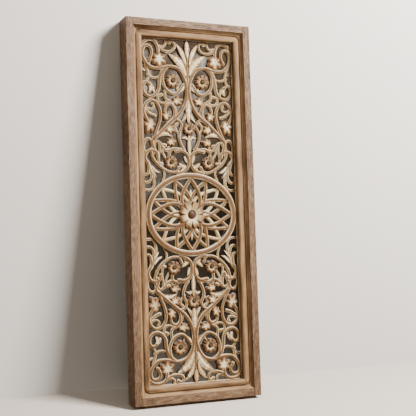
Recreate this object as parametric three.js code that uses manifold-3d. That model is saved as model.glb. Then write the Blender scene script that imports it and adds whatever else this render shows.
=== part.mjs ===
// Carved wall panel: a deep picture-style frame of four boards, an inner moulding of four
// mitred strips, and one pierced carved board held in the rebate behind the moulding.
// Millimetres, +Z up, front faces -Y. The origin is the middle of the flat back of the
// top rail, where the panel is fixed to a wall.

import * as THREE from 'three';
import { mergeVertices } from 'three/addons/utils/BufferGeometryUtils.js';
import Module from 'manifold-3d';

const wasm = await Module();
wasm.setup();

// ---- driving dimensions --------------------------------------------------------------

const panelWidth = 350;
const panelHeight = 990;
const panelDepth = 55;
const boardEdge = 19.5;          // width of the frame boards as seen from the front
const mouldingWidth = 25.5;      // from the boards to the opening
const fitGap = 0.3;              // play between neighbouring pieces
const mitreGap = 0.2;            // set-back of each moulding end from its mitre plane
const carvingCrest = 17;         // highest carved surface, behind the frame front
const carvingBack = 36;          // flat back of the carved board, behind the frame front
const rimFront = 22;             // front of the plain rim of the carved board
const lipBack = rimFront - fitGap;
const rebate = 5;                // how far the rim reaches behind the moulding

const openingX = panelWidth / 2 - boardEdge - mouldingWidth;
const openingZ = panelHeight / 2 - boardEdge - mouldingWidth;
const middleZ = -(panelHeight / 2 - boardEdge / 2);

// The height of a carved element is counted from the flat back of the carved board.
const fullHeight = carvingBack - carvingCrest;
const rimHeight = carvingBack - rimFront;

// ---- the ornament, drawn once for the upper right quarter ----------------------------
// x is counted from the middle of the panel and z up from it.
// A stem is [width at its start, width at its end, height, [points along its middle]].

const stems = {
  main: [10, 8, 16, [[98, 184], [79, 203], [52, 228], [28, 249], [13, 270], [5, 294],
    [4, 324], [11, 350], [26, 371], [50, 377], [80, 370], [104, 373], [120, 390],
    [125, 410], [118, 427], [104, 427], [98, 410], [105, 392]]],
  flowerRing: [9, 8, 14.5, [[54, 376], [67, 362], [70, 344], [65, 322], [53, 309], [37, 304],
    [24, 313], [12, 330]]],
  sideScroll: [10, 7, 15, [[58, 375], [73, 360], [79, 338], [83, 312], [95, 298], [110, 295],
    [122, 305], [125, 322], [116, 332], [105, 326]]],
  edgeTendril: [8, 7, 12, [[116, 378], [111, 360], [110, 346], [117, 334], [131, 329]]],
  cornerScroll: [9, 8, 15, [[132, 423], [122, 437], [106, 445], [91, 442], [82, 428],
    [80, 408]]],
  cornerHook: [8, 7, 13.5, [[84, 432], [70, 420], [55, 416], [40, 421], [34, 434], [41, 446],
    [49, 439]]],
  teardrop: [8, 8, 15.5, [[98, 184], [90, 206], [80, 236], [80, 262], [92, 282], [108, 285],
    [121, 273], [125, 255], [119, 238], [112, 225]]],
  teardropBranch: [6, 8, 13, [[122, 262], [108, 250], [94, 244]]],
  heartTwig: [8, 6, 13, [[64, 312], [64, 292], [50, 282], [39, 270], [34, 254], [38, 242]]],
  heartLoop: [8, 7, 14, [[67, 256], [62, 272], [50, 277], [41, 267], [39, 251], [45, 238],
    [58, 227]]],
  flowerScroll: [7, 8, 14.2, [[52, 226], [37, 237], [24, 230], [20, 218], [26, 205], [29, 192],
    [25, 176], [17, 158]]],
  arch: [9, 8, 15.2, [[40, 151], [22, 153], [8, 145], [3, 128], [7, 109], [20, 99], [36, 95]]],
  archLink: [8, 8, 13.2, [[14, 157], [30, 158], [48, 158], [58, 149], [57, 136]]],
  hook: [9, 7, 15, [[116, 118], [124, 133], [119, 148], [105, 154], [93, 149], [90, 138]]],
  ringBranch: [8, 7, 14, [[107, 154], [102, 134], [90, 117], [74, 105], [54, 97], [38, 99],
    [31, 110]]],
  sideOval: [8, 8, 13.5, [[121, 142], [127, 158], [125, 174], [115, 184], [106, 178],
    [103, 165], [108, 152]]],
  nodeStem: [8, 8, 14.6, [[99, 188], [103, 172], [98, 158], [99, 146]]],
  midCurl: [7, 8, 13, [[99, 168], [93, 176], [83, 174], [76, 163], [64, 154], [48, 157]]],
  sprayTop: [8, 7, 13.5, [[117, 124], [115, 104], [119, 92], [131, 90]]],
  sprayMiddle: [8, 7, 12.8, [[113, 118], [108, 98], [109, 80], [118, 70], [131, 72]]],
  sprayLow: [8, 7, 12.2, [[106, 108], [101, 84], [102, 62], [110, 51], [131, 50]]],
  flowerStalk: [6, 5, 11, [[26, 311], [34, 328]]],
};

// A blade is [widest width, height, [points from base to tip]].
const blades = {
  crown: [15, 17, [[0, 398], [0, 425], [0, 454]]],
  crownSecond: [13, 16.5, [[3, 372], [9, 400], [19, 422], [29, 438]]],
  crownThird: [19, 15.5, [[1, 346], [10, 374], [28, 395], [50, 411]]],
  trunk: [14, 13.5, [[0, 262], [0, 330], [0, 412]]],
  nodeLeaf: [13, 14, [[102, 181], [82, 196], [64, 198], [46, 191]]],
  scrollLeaf: [10, 12, [[104, 327], [98, 318], [93, 305]]],
  stalk: [11, 13.8, [[0, 141], [0, 166], [0, 202]]],
  calyx: [17, 14.5, [[0, 287], [0, 262], [0, 224]]],
  archLeafMiddle: [10, 11.8, [[7, 108], [20, 114], [30, 122]]],
};

// A rosette is [x, z, half width, half height, lobes, turn in degrees, notch depth, height,
// whether it is a flower]. Notch depth is a share of the radius.
const rosettes = {
  scrollFlower: [42, 339, 19.5, 19.5, 8, 0, 0.18, 15, true],
  sideFlower: [53, 122.5, 17.5, 17.5, 8, 10, 0.18, 15, true],
  vineLeaf: [79, 392, 19.5, 19.5, 5, -90, 0.35, 14.4, false],
  edgeLeaf: [110, 218, 16, 20, 5, -60, 0.3, 13.6, false],
  loopLeaf: [63, 247, 10.5, 13, 5, 70, 0.3, 13.2, false],
};
const centreFlower = [0, 213, 17.5, 17.5, 8, 0, 0.18, 15.6, true];

// The lower half is the upper one turned over, set lower by an amount that fades to the ends.
const lowerShift = [[95, 27], [150, 32.5], [213, 27], [290, 21], [340, 19], [400, 15],
  [openingZ, 0]];

// The medallion: an oval ring, sixteen crossing petals and a flower.
const medallion = { x: 0, z: -14, halfWidth: 120.5, halfHeight: 102, band: 14 };
const petalBand = 8;
const petalHalfWidths = [26, 18.5, 23, 19, 29, 19, 23, 18.5];
const petalHeights = [16, 14, 12, 14];
const medallionFlower = [0, -15, 35, 35, 8, 22.5, 0.24, 17.5, true];

// ---- helpers -------------------------------------------------------------------------

// A point of the carved board: x and z as above, height counted from its flat back.
const onBoard = (x, z, height) =>
  new THREE.Vector3(x, -panelDepth + carvingBack - height, middleZ + z);

// Turns a surface the right way out, going by the sign of the volume it holds.
function outward(geometry) {
  const at = geometry.attributes.position;
  const index = geometry.index.array;
  const corner = (i) => new THREE.Vector3().fromBufferAttribute(at, index[i]);
  let volume = 0;
  for (let i = 0; i < index.length; i += 3) {
    volume += corner(i).dot(corner(i + 1).cross(corner(i + 2)));
  }
  if (volume < 0) {
    for (let i = 0; i < index.length; i += 3) {
      [index[i + 1], index[i + 2]] = [index[i + 2], index[i + 1]];
    }
  }
  return geometry;
}

// Triangles that fill a flat ring, wound the same way as the ring.
function fill(ring) {
  const span = new THREE.Box3().setFromPoints(ring).getSize(new THREE.Vector3());
  const [across, along] = ['x', 'y', 'z'].sort((a, b) => span[b] - span[a]);
  const flat = ring.map((p) => new THREE.Vector2(p[across], p[along]));
  const way = Math.sign(THREE.ShapeUtils.area(flat));
  return THREE.ShapeUtils.triangulateShape(flat, []).map(([a, b, c]) => {
    const same = Math.sign(THREE.ShapeUtils.area([flat[a], flat[b], flat[c]])) === way;
    return same ? [a, b, c] : [a, c, b];
  });
}

// A closed surface through rings that all have the same number of points, with flat ends.
function loft(rings) {
  const size = rings[0].length;
  const index = [];
  for (let r = 0; r + 1 < rings.length; r++) {
    for (let i = 0; i < size; i++) {
      const a = r * size + i;
      const b = r * size + (i + 1) % size;
      index.push(a, b, b + size, a, b + size, a + size);
    }
  }
  const last = (rings.length - 1) * size;
  for (const [a, b, c] of fill(rings[0])) index.push(a, c, b);
  for (const [a, b, c] of fill(rings.at(-1))) index.push(last + a, last + b, last + c);
  const positions = rings.flat().flatMap((p) => [p.x, p.y, p.z]);
  const geometry = new THREE.BufferGeometry();
  geometry.setAttribute('position', new THREE.Float32BufferAttribute(positions, 3));
  geometry.setIndex(index);
  return outward(geometry);
}

function toSolid(geometry) {
  const bare = geometry.clone();
  bare.deleteAttribute('normal');
  bare.deleteAttribute('uv');
  const merged = mergeVertices(bare);
  return new wasm.Manifold(new wasm.Mesh({
    numProp: 3,
    vertProperties: merged.attributes.position.array,
    triVerts: new Uint32Array(merged.index.array),
  }));
}

function toGeometry(solid) {
  const mesh = solid.getMesh();
  const geometry = new THREE.BufferGeometry();
  geometry.setAttribute('position', new THREE.BufferAttribute(mesh.vertProperties, 3));
  geometry.setIndex(new THREE.BufferAttribute(mesh.triVerts, 1));
  return geometry;
}

function wood(name, geometry, colour) {
  const material = new THREE.MeshStandardMaterial({ color: colour, roughness: 0.8, metalness: 0 });
  const mesh = new THREE.Mesh(geometry, material);
  mesh.name = name;
  return mesh;
}

// ---- frame boards --------------------------------------------------------------------

const frameColour = 0xa8896f;
const mouldingColour = 0xad8a6a;
const carvingColour = 0xd8c4a4;

function board(name, sizeX, sizeZ, x, z) {
  const mesh = wood(name, new THREE.BoxGeometry(sizeX, panelDepth, sizeZ), frameColour);
  mesh.position.set(x, -panelDepth / 2, z);
  return mesh;
}

function frameBoards() {
  const stileX = (panelWidth - boardEdge) / 2;
  const railLength = panelWidth - 2 * boardEdge - 2 * fitGap;
  return [
    board('stile_left', boardEdge, panelHeight, -stileX, middleZ),
    board('stile_right', boardEdge, panelHeight, stileX, middleZ),
    board('rail_top', railLength, boardEdge, 0, 0),
    board('rail_bottom', railLength, boardEdge, 0, 2 * middleZ),
  ];
}

// ---- inner moulding ------------------------------------------------------------------

// The moulding's section as [distance out from the opening, depth behind the frame front]:
// the lip, a broad rounded band, a groove, a thin fillet, a cove up to the boards, and
// the back with the rebate for the carved board.
const mouldingSection = [
  [0, lipBack], [0, 12.5], [1.2, 10], [4, 8.4], [10, 7.8], [15.2, 9], [17, 10.6],
  [18, 8.6], [19.4, 8.2], [22.4, 5], [mouldingWidth - fitGap, 1.6],
  [mouldingWidth - fitGap, carvingBack], [rebate, carvingBack], [rebate, lipBack],
];
const roundUntil = 16.5;         // front contours within this distance turn round the corners
const squareFrom = 19;           // contours further out, and the back's, keep square corners
const cornerSteps = 3;

// One strip: the section carried along one side of the opening, and round half of each
// corner to the mitre. Every ring lies on a ray out of the opening's corner.
function mouldingStrip(name, halfLength, halfAcross, turn) {
  const rings = [];
  for (const end of [-1, 1]) {
    for (let step = 0; step <= cornerSteps; step++) {
      const share = (end < 0 ? cornerSteps - step : step) / cornerSteps;
      const angle = share * Math.PI / 4;
      rings.push(mouldingSection.map(([distance, depth]) => {
        const square = depth < lipBack
          ? THREE.MathUtils.smoothstep(distance, roundUntil, squareFrom) : 1;
        const out = distance * THREE.MathUtils.lerp(Math.cos(angle), 1, square);
        const along = halfLength - mitreGap + out * Math.tan(angle);
        return new THREE.Vector3(end * along, depth - panelDepth, halfAcross + out);
      }));
    }
  }
  const geometry = loft(rings);
  geometry.rotateY(turn);
  geometry.translate(0, 0, middleZ);
  return wood(name, geometry, mouldingColour);
}

function mouldings() {
  return [
    mouldingStrip('moulding_top', openingX, openingZ, 0),
    mouldingStrip('moulding_right', openingZ, openingX, Math.PI / 2),
    mouldingStrip('moulding_bottom', openingX, openingZ, Math.PI),
    mouldingStrip('moulding_left', openingZ, openingX, -Math.PI / 2),
  ];
}

// ---- carved board --------------------------------------------------------------------

// Where a point of the upper right quarter lies in a quarter: side is 1 on the right and
// -1 on the left, and lower is true below the medallion.
function inQuarter(x, z, side, lower) {
  if (!lower) return [side * x, z];
  let i = 1;
  while (i + 1 < lowerShift.length && lowerShift[i][0] < z) i++;
  const [[z0, shift0], [z1, shift1]] = [lowerShift[i - 1], lowerShift[i]];
  const share = THREE.MathUtils.clamp((z - z0) / (z1 - z0), 0, 1);
  return [side * x, -z - THREE.MathUtils.lerp(shift0, shift1, share)];
}

const quarters = [[1, false], [-1, false], [1, true], [-1, true]];

// Places along a smooth curve, closer together where it turns: [x, z, direction, share].
const longestStep = 40;
const sharpestTurn = 0.92;
function alongCurve(points) {
  const curve = new THREE.CatmullRomCurve3(points.map(([x, z]) => new THREE.Vector3(x, z, 0)));
  const places = [];
  const fine = (points.length - 1) * 12;
  let turned = 0;
  let gone = 0;
  let before = null;
  for (let i = 0; i <= fine; i++) {
    const at = curve.getPoint(i / fine);
    const tangent = curve.getTangent(i / fine);
    if (before) {
      turned += tangent.angleTo(before.tangent);
      gone += at.distanceTo(before.at);
    }
    before = { at, tangent };
    if (i === 0 || i === fine || turned > sharpestTurn || gone > longestStep) {
      places.push({ x: at.x, z: at.y, across: [-tangent.y, tangent.x], share: i / fine });
      turned = 0;
      gone = 0;
    }
  }
  return places;
}

// A carved bar: an oblong section carried along a curve, standing on the board's back.
// Its half width is a function of the share of the way along.
function bar(points, height, halfWidth) {
  return loft(alongCurve(points).map(({ x, z, across, share }) => {
    const half = halfWidth(share);
    const corners = [[half, 0], [-half, 0], [-half, height], [half, height]];
    return corners.map(([off, up]) =>
      onBoard(x + across[0] * off, z + across[1] * off, up));
  }));
}

const stem = (points, startWidth, endWidth, height) =>
  bar(points, height, (share) => THREE.MathUtils.lerp(startWidth, endWidth, share) / 2);

// A leaf blade swells from its base and runs out to a point.
const thinnest = 1.2;
const blade = (points, width, height) => bar(points, height,
  (share) => Math.max(thinnest, width / 2 * Math.sin(Math.PI * (0.12 + 0.86 * share) ** 0.9)));

// A lobed leaf or flower: its outline swings in to a notch between every two lobes. A
// flower's petals are broad, with two points to each, and a leaf's lobes are pointed.
function rosette([x, z, halfX, halfZ, lobes, turn, notch, height, flower], side, up) {
  const perLobe = flower ? 3 : 2;
  const outline = (level) => {
    const ring = [];
    for (let i = 0; i < lobes * perLobe; i++) {
      const lobeAngle = (i / perLobe - 0.5) * 2 * Math.PI / lobes;
      const angle = lobeAngle + THREE.MathUtils.degToRad(turn);
      const reach = i % perLobe === 0 ? 1 - notch : 1;
      ring.push(onBoard(x + side * halfX * reach * Math.cos(angle),
        z + up * halfZ * reach * Math.sin(angle), level));
    }
    return ring;
  };
  return loft([outline(0), outline(height)]);
}

// One side of a petal of the medallion: it leaves the line from the centre to the petal's
// tip, is widest at two fifths of the way, and comes back to it at the tip.
const petalStart = 0.22;
function petalSide(k, hand) {
  const reachX = medallion.halfWidth - medallion.band / 2;
  const reachZ = medallion.halfHeight - medallion.band / 2;
  const angle = k * Math.PI / 8;
  const tip = new THREE.Vector2(Math.sin(angle) * reachX, Math.cos(angle) * reachZ);
  const off = tip.clone().normalize().rotateAround(new THREE.Vector2(), -hand * Math.PI / 2);
  const points = [];
  for (let i = 0; i <= 8; i++) {
    const share = THREE.MathUtils.lerp(petalStart, 1, i / 8);
    const spread = petalHalfWidths[k % 8] * Math.sin(Math.PI * share ** 0.8);
    points.push([medallion.x + tip.x * share + off.x * spread,
      medallion.z + tip.y * share + off.y * spread]);
  }
  return stem(points, petalBand, petalBand, petalHeights[k % 4]);
}

// A flat plate of the given height standing on the back of the carved board.
const ovalSteps = 30;
function plate(shape, height) {
  const geometry = new THREE.ExtrudeGeometry(shape,
    { depth: height, bevelEnabled: false, curveSegments: ovalSteps });
  geometry.rotateX(Math.PI / 2);
  const base = onBoard(0, 0, 0);
  geometry.translate(base.x, base.y, base.z);
  return geometry;
}

function medallionRing() {
  const shape = new THREE.Shape();
  const { x, z, halfWidth, halfHeight, band } = medallion;
  shape.absellipse(x, z, halfWidth + band / 2, halfHeight + band / 2, 0, 2 * Math.PI);
  const inner = new THREE.Path();
  inner.absellipse(x, z, halfWidth - band / 2, halfHeight - band / 2, 0, 2 * Math.PI);
  shape.holes.push(inner);
  return plate(shape, fullHeight);
}

const rectangle = (target, halfX, halfZ) => target.setFromPoints([
  new THREE.Vector2(-halfX, -halfZ), new THREE.Vector2(halfX, -halfZ),
  new THREE.Vector2(halfX, halfZ), new THREE.Vector2(-halfX, halfZ)]);

// The carved field fills the opening with a little play all round.
const field = () => plate(
  rectangle(new THREE.Shape(), openingX - fitGap, openingZ - fitGap), fullHeight + 1);

// The plain rim reaches from just inside the field to just short of the rebate's wall.
const rimShow = 3 * fitGap;
function rim() {
  const reach = rebate - fitGap;
  const shape = rectangle(new THREE.Shape(), openingX + reach, openingZ + reach);
  shape.holes.push(rectangle(new THREE.Path(), openingX - rimShow, openingZ - rimShow));
  return plate(shape, rimHeight);
}

function carving() {
  const parts = [medallionRing(), rosette(medallionFlower, 1, 1)];
  for (const side of [1, -1]) {
    const { x, z, halfWidth, band } = medallion;
    parts.push(stem([[side * (x + halfWidth), z], [side * (openingX + 1), z]],
      band, band, rimHeight - 1));
  }
  for (let k = 0; k < 16; k++) parts.push(petalSide(k, 1), petalSide(k, -1));
  for (const [side, lower] of quarters) {
    const placed = (points) => points.map(([x, z]) => inQuarter(x, z, side, lower));
    for (const [start, end, height, points] of Object.values(stems)) {
      parts.push(stem(placed(points), start, end, height));
    }
    for (const [width, height, points] of Object.values(blades)) {
      parts.push(blade(placed(points), width, height));
    }
    for (const [x, z, ...rest] of [...Object.values(rosettes), centreFlower]) {
      parts.push(rosette([...inQuarter(x, z, side, lower), ...rest], side, lower ? -1 : 1));
    }
  }
  const ornament = parts.map(toSolid).reduce((joined, part) => joined.add(part));
  const whole = ornament.intersect(toSolid(field())).add(toSolid(rim()));
  return wood('carving', toGeometry(whole), carvingColour);
}

// ---- the panel -----------------------------------------------------------------------

const panel = new THREE.Group();
panel.add(...frameBoards(), ...mouldings(), carving());
export default panel;
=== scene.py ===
"""Carved wall panel: the visual model of a framed, pierced and carved wooden panel.

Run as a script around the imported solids. Lengths in this file are millimetres, except on
the stage, in the add-on's properties and in finished meshes, which are in metres. +Z is
up, the carved front faces -Y and the origin is the middle of the flat back of the top rail.
"""

import math
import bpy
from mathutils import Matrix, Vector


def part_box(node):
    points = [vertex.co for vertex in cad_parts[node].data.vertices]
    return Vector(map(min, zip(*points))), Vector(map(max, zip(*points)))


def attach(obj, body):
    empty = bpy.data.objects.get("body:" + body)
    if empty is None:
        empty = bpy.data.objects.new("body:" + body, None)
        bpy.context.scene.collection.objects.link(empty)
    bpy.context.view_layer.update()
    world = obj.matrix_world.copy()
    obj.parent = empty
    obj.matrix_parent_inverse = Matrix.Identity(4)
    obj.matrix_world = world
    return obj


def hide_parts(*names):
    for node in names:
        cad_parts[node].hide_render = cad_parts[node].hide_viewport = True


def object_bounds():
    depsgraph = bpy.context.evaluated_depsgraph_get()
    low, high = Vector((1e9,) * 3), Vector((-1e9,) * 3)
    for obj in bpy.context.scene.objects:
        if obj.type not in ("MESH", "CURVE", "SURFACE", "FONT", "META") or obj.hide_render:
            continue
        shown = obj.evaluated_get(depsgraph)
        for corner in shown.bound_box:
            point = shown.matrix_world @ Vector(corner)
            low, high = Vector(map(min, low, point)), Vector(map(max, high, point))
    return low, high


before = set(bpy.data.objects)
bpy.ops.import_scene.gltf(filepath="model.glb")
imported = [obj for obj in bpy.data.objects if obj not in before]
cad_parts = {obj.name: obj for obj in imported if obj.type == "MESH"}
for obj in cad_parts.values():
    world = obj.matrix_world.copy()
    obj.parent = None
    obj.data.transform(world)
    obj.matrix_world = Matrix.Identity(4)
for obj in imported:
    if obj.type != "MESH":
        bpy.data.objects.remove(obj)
CAD_BOX = [list(corner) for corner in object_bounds()]

import bpy
import numpy as np
from bpy.props import FloatProperty, FloatVectorProperty, PointerProperty
from mathutils import Matrix, Vector

bl_info = {
    "name": "Carved wall panel",
    "version": (1, 0, 0),
    "blender": (4, 5, 0),
    "location": "View3D > Sidebar > Carved Panel",
    "description": "Builds a framed wooden wall panel with a pierced, carved and limed board",
    "category": "Add Mesh",
}

MM = 0.001
PANEL_LOW, PANEL_HIGH = (np.array(corner) / MM for corner in CAD_BOX)
FRONT_Y = PANEL_LOW[1]
MIDDLE_Z = (PANEL_LOW[2] + PANEL_HIGH[2]) / 2


def node_box(name):
    """Lowest and highest corner of a solid, in millimetres."""
    low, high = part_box(name)
    return np.array(low) / MM, np.array(high) / MM


CARVING_LOW, CARVING_HIGH = node_box("carving")
CARVING_BACK_Y = CARVING_HIGH[1]
FULL_HEIGHT = CARVING_HIGH[1] - CARVING_LOW[1]
RIM_HALF_X = CARVING_HIGH[0]
RIM_HALF_Z = (CARVING_HIGH[2] - CARVING_LOW[2]) / 2
RIM_HEIGHT = 14.0
# How far the board's rim reaches behind the moulding, and how much of the rim shows.
REBATE = 4.7
RIM_SHOWN = 0.6
FIELD_HALF_X = RIM_HALF_X - REBATE - RIM_SHOWN
FIELD_HALF_Z = RIM_HALF_Z - REBATE - RIM_SHOWN
# The carved board is thinned to this many triangles.
MOST_TRIANGLES = 194000

# ---- the ornament ----------------------------------------------------------------------
# The upper right quarter, in x from the middle of the panel and z up from it. Heights are
# counted from the flat back of the carved board.

# name: (width at the start, width at the end, height, swelling of the end, points)
STEMS = {
    "main": (10.5, 8, 16.2, 0.3, [
        (98, 184), (79, 203), (52, 228), (28, 249), (13, 270), (5, 294), (4, 324), (11, 350),
        (26, 371), (50, 377), (80, 370), (104, 373), (120, 390), (125, 410), (118, 427),
        (104, 427), (98, 410), (105, 392)]),
    "trunk": (11, 7, 14.2, 0, [(0, 262), (0, 330), (0, 412)]),
    "flower_ring": (9, 8, 14.8, 0, [
        (54, 376), (67, 362), (70, 344), (65, 322), (53, 309), (37, 304), (24, 313),
        (12, 330)]),
    "side_scroll": (10, 7, 15.2, 0.3, [
        (58, 375), (73, 360), (79, 338), (83, 312), (95, 298), (110, 295), (122, 305),
        (125, 322), (116, 332), (105, 326)]),
    "side_spray": (5, 9, 12.5, 0.1, [(76, 350), (89, 345), (103, 347), (111, 352)]),
    "edge_tendril": (8, 7, 12.2, 0, [(116, 378), (111, 360), (110, 346), (117, 334),
                                     (131, 329)]),
    "edge_bud": (5, 6, 11.2, 0.4, [(119, 362), (124, 366), (131, 364)]),
    "corner_scroll": (9, 8, 15.2, 0, [
        (132, 423), (122, 437), (106, 445), (91, 442), (82, 428), (80, 408)]),
    "corner_hook": (8, 7, 13.8, 0.25, [
        (84, 432), (70, 420), (55, 416), (40, 421), (34, 434), (41, 446), (49, 439)]),
    "corner_tendril": (7, 6, 12.2, 0, [(78, 430), (66, 429), (59, 438), (60, 452)]),
    "teardrop": (8, 8, 15.6, 0, [
        (98, 184), (90, 206), (80, 236), (80, 262), (92, 282), (108, 285), (121, 273),
        (125, 255), (119, 238), (112, 225)]),
    "teardrop_curl": (6, 6, 12.8, 0.4, [(121, 268), (113, 263), (103, 262), (97, 268),
                                        (100, 277)]),
    "teardrop_branch": (6, 8, 13.2, 0.1, [(122, 262), (108, 250), (94, 244)]),
    "heart_twig": (8, 6, 13.2, 0.4, [
        (64, 312), (64, 292), (50, 282), (39, 270), (34, 254), (38, 242)]),
    "heart_curl": (7, 7, 12.8, 0.4, [(58, 283), (72, 278), (83, 284), (84, 296),
                                     (74, 300)]),
    "heart_loop": (8, 7, 14.2, 0, [
        (67, 256), (62, 272), (50, 277), (41, 267), (39, 251), (45, 238), (58, 227)]),
    "flower_scroll": (7, 8, 14.4, 0, [
        (52, 226), (37, 237), (24, 230), (20, 218), (26, 205), (29, 192), (25, 176),
        (17, 158)]),
    "flower_branch": (6, 6, 12.2, 0.4, [(26, 196), (34, 206), (38, 218), (31, 227)]),
    "arch": (9, 8, 15.4, 0, [
        (40, 151), (22, 153), (8, 145), (3, 128), (7, 109), (20, 99), (36, 95)]),
    "arch_link": (8, 8, 13.4, 0.2, [(14, 157), (30, 158), (48, 158), (58, 149), (57, 136)]),
    "hook": (9, 7, 15.2, 0.3, [
        (116, 118), (124, 133), (119, 148), (105, 154), (93, 149), (90, 138)]),
    "ring_branch": (8, 7, 14.2, 0.3, [
        (107, 154), (102, 134), (90, 117), (74, 105), (54, 97), (38, 99), (31, 110)]),
    "knob_branch": (6, 7, 12.4, 0.4, [(102, 130), (92, 121), (78, 119)]),
    "side_oval": (8, 8, 13.8, 0, [
        (121, 142), (127, 158), (125, 174), (115, 184), (106, 178), (103, 165),
        (108, 152)]),
    "node_stem": (8, 8, 14.8, 0, [(99, 188), (103, 172), (98, 158), (99, 146)]),
    "mid_curl": (7, 8, 13.4, 0, [
        (99, 168), (93, 176), (83, 174), (76, 163), (64, 154), (48, 157)]),
    "mid_knob": (6, 7, 12.6, 0.4, [(79, 168), (73, 169), (67, 167)]),
    "mid_twig": (7, 6, 12.4, 0, [(84, 174), (83, 156), (86, 138), (84, 112)]),
    "mid_twig_low": (6, 6, 11.8, 0, [(76, 162), (75, 148), (66, 132)]),
    "spray_top": (8, 7, 13.8, 0, [(117, 124), (115, 104), (119, 92), (131, 90)]),
    "spray_middle": (8, 7, 13.0, 0, [(113, 118), (108, 98), (109, 80), (118, 70),
                                     (131, 72)]),
    "spray_low": (8, 7, 12.4, 0, [(106, 108), (101, 84), (102, 62), (110, 51), (131, 50)]),
    "ring_frond": (6, 6, 12.0, 0, [(74, 104), (72, 90), (78, 74)]),
    "flower_stalk": (6, 5, 11.0, 0, [(26, 311), (34, 328)]),
    "heart_leaf_stalk": (5, 5, 10.5, 0, [(46, 279), (35, 284)]),
    "mid_leaf_stalk": (5, 5, 10.5, 0, [(61, 156), (54, 170)]),
}

# name: (widest width, height, points from base to tip)
BLADES = {
    "crown": (13, 17.0, [(0, 400), (0, 426), (0, 452)]),
    "crown_second": (13, 16.6, [(5, 380), (11, 404), (20, 423), (30, 438)]),
    "crown_third": (22, 15.6, [(5, 354), (15, 379), (31, 396), (51, 410)]),
    "node_leaf": (13, 14.2, [(102, 181), (82, 196), (64, 198), (46, 191)]),
    "scroll_leaf": (10, 12.2, [(104, 327), (98, 318), (93, 305)]),
    "scroll_leaf_second": (11, 13.0, [(109, 331), (103, 316), (108, 305)]),
    "stalk": (11, 14.0, [(0, 141), (0, 166), (0, 202)]),
    "horn": (8, 12.6, [(2, 181), (10, 190), (20, 186)]),
    "calyx": (17, 14.8, [(0, 287), (0, 262), (0, 224)]),
    "calyx_side": (10, 13.2, [(1, 274), (7, 248), (20, 229)]),
    "arch_leaf_top": (9, 11.8, [(4, 118), (10, 131), (15, 143)]),
    "arch_leaf_middle": (10, 12.0, [(7, 108), (20, 114), (30, 122)]),
    "arch_leaf_low": (8, 11.4, [(24, 96), (18, 108), (12, 117)]),
    "leaflet": (8, 12.2, [(114, 257), (100, 247), (89, 247)]),
    "spray_leaf": (8, 12.8, [(113, 122), (106, 100), (92, 83)]),
    "ring_twig": (7, 11.8, [(106, 114), (95, 101), (84, 96)]),
    "heart_ring_leaf": (10, 13.2, [(29, 310), (16, 318), (7, 335)]),
}

# name: (x, z, half width, half height, lobes, turn in degrees, notch, height, rim wear)
FLOWERS = {
    "scroll_flower": (42, 339, 19.5, 19.5, 8, 0, 0.24, 16.0, 0.92),
    "side_flower": (53, 122.5, 17.5, 17.5, 8, 10, 0.24, 16.0, 0.92),
    "centre_flower": (0, 213, 17.5, 17.5, 8, 0, 0.24, 16.4, 0.92),
}
# name: (x, z, half width, half height, direction of the tip in degrees, height)
LEAVES = {
    "vine_leaf": (79, 392, 19.5, 19.5, -90, 15.2),
    "edge_leaf": (110, 218, 16, 20, -60, 14.4),
    "flower_leaf": (52, 210, 13.5, 13.5, 200, 14.2),
    "heart_leaf": (30, 286, 15, 12.5, 160, 13.6),
    "loop_leaf": (63, 247, 12, 13.5, 70, 14.0),
    "mid_leaf": (50, 177, 13, 11.5, 170, 13.4),
}

# The lower half is the upper one turned over, set lower by an amount that fades out.
LOWER_SHIFT = ((95, 27), (150, 32.5), (213, 27), (290, 21), (340, 19), (400, 15), (450, 0))

# The medallion: an oval ring, sixteen crossing petals and a flower.
MEDALLION = (0.0, -14.0)
RING_HALF = (120.5, 102.0)
RING_BAND = 14.0
PETALS = 16
PETAL_BAND = 9.2
# Clockwise from the top, each list over and over: how far a petal's edges bow out, how
# high they stand and how worn they are.
PETAL_SPREAD = (26, 18.5, 23, 19, 29, 19, 23, 18.5)
PETAL_HEIGHT = (16.2, 14.2, 12.2, 14.2)
PETAL_WEAR = (1.15, 1.05, 0.4, 1.05)
# As a row of FLOWERS.
MEDALLION_FLOWER = (0, -15, 36, 37, 8, 22.5, 0.42, 18.4, 0.70)
# Small pointed buds between the petals: direction in degrees from the top, start and end
# as shares of the way to the ring.
BUDS = ((0, 0.30, 0.66), (90, 0.26, 0.52), (180, 0.30, 0.66), (270, 0.26, 0.52))
BUD_WIDTH, BUD_HEIGHT = 9.5, 13.5


# ---- the carved relief as a height over a grid -----------------------------------------

def smooth(value, start, end):
    """0 below start, 1 above end and 3t^2 - 2t^3 between them."""
    t = np.clip((value - start) / (end - start), 0, 1)
    return t * t * (3 - 2 * t)


def bell(value, width):
    """exp(-(value / width)^2)."""
    return np.exp(-(value / width) ** 2)


def rounded(u):
    """1 - sqrt(1 - (0.97 u)^2): how far a round back has fallen at u of its half width."""
    return 1 - np.sqrt(1 - (0.97 * u) ** 2)


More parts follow.
